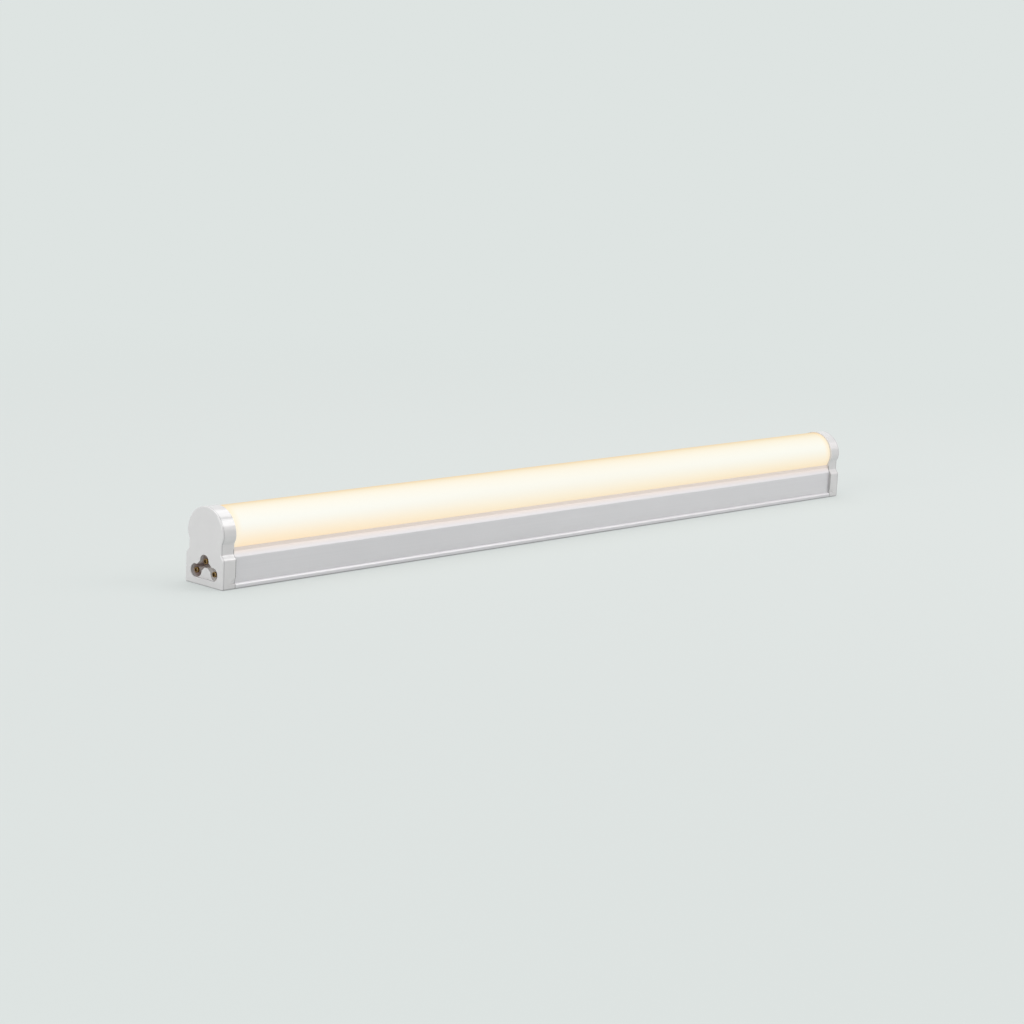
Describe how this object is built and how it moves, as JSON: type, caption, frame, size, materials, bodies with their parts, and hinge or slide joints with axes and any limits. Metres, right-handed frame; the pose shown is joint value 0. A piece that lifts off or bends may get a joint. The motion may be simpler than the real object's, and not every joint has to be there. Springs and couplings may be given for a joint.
{
  "type": "led batten",
  "caption": "Slim linkable LED batten: arched opal cover on an extruded aluminium body, white end caps with a waisted outline and pin sockets.",
  "frame": {"origin": "middle of the underside, on the surface it is mounted to", "axes": "+X along the length, +Z away from the mounting surface towards the cover"},
  "size_m": [0.45, 0.025, 0.0353],
  "materials": {
    "anodised_body": "satin silver anodised extrusion",
    "opal_cover": "opal diffusing plastic, lit warm white",
    "cap_plastic": "white moulded plastic, satin gloss",
    "contact_brass": "turned brass, slightly dulled",
    "retainer_plastic": "natural white moulding",
    "led_board_mask": "aluminium core board with white mask",
    "led_phosphor": "yellow phosphor in a white package",
    "sleeve_plastic": "insulating sleeve, translucent white",
    "driver_laminate": "phenolic board, tan",
    "fuse_body": "lacquered green body",
    "black_moulding": "black component moulding",
    "film_yellow": "yellow boxed capacitor",
    "ferrite": "dark ferrite with wound coil",
    "capacitor_jacket": "dark shrink jacket",
    "wire_brown": "brown insulation",
    "wire_blue": "blue insulation",
    "wire_green": "green and yellow insulation",
    "wire_red": "red insulation",
    "wire_black": "black insulation"
  },
  "bodies": {
    "root": {"base_profile": "anodised_body", "diffuser_cover": "opal_cover", "left_end_cap": "cap_plastic", "right_end_cap": "cap_plastic", "left_line_contact": "contact_brass", "left_neutral_contact": "contact_brass", "left_earth_contact": "contact_brass", "right_line_contact": "contact_brass", "right_neutral_contact": "contact_brass", "right_earth_contact": "contact_brass", "left_contact_retainer": "retainer_plastic", "right_contact_retainer": "retainer_plastic", "led_board": "led_board_mask", "led_chips": "led_phosphor", "driver_sleeve": "sleeve_plastic", "driver_board": "driver_laminate", "fuse_resistor": "fuse_body", "bridge_rectifier": "black_moulding", "film_capacitor": "film_yellow", "choke_coil": "ferrite", "storage_capacitor": "capacitor_jacket", "driver_chip": "black_moulding", "sense_resistors": "black_moulding", "line_wire": "wire_brown", "neutral_wire": "wire_blue", "earth_wire": "wire_green", "driver_line_lead": "wire_brown", "driver_neutral_lead": "wire_blue", "led_positive_lead": "wire_red", "led_negative_lead": "wire_black", "earth_bond_lead": "wire_green", "earth_clip": "contact_brass"}
  },
  "joints": []
}
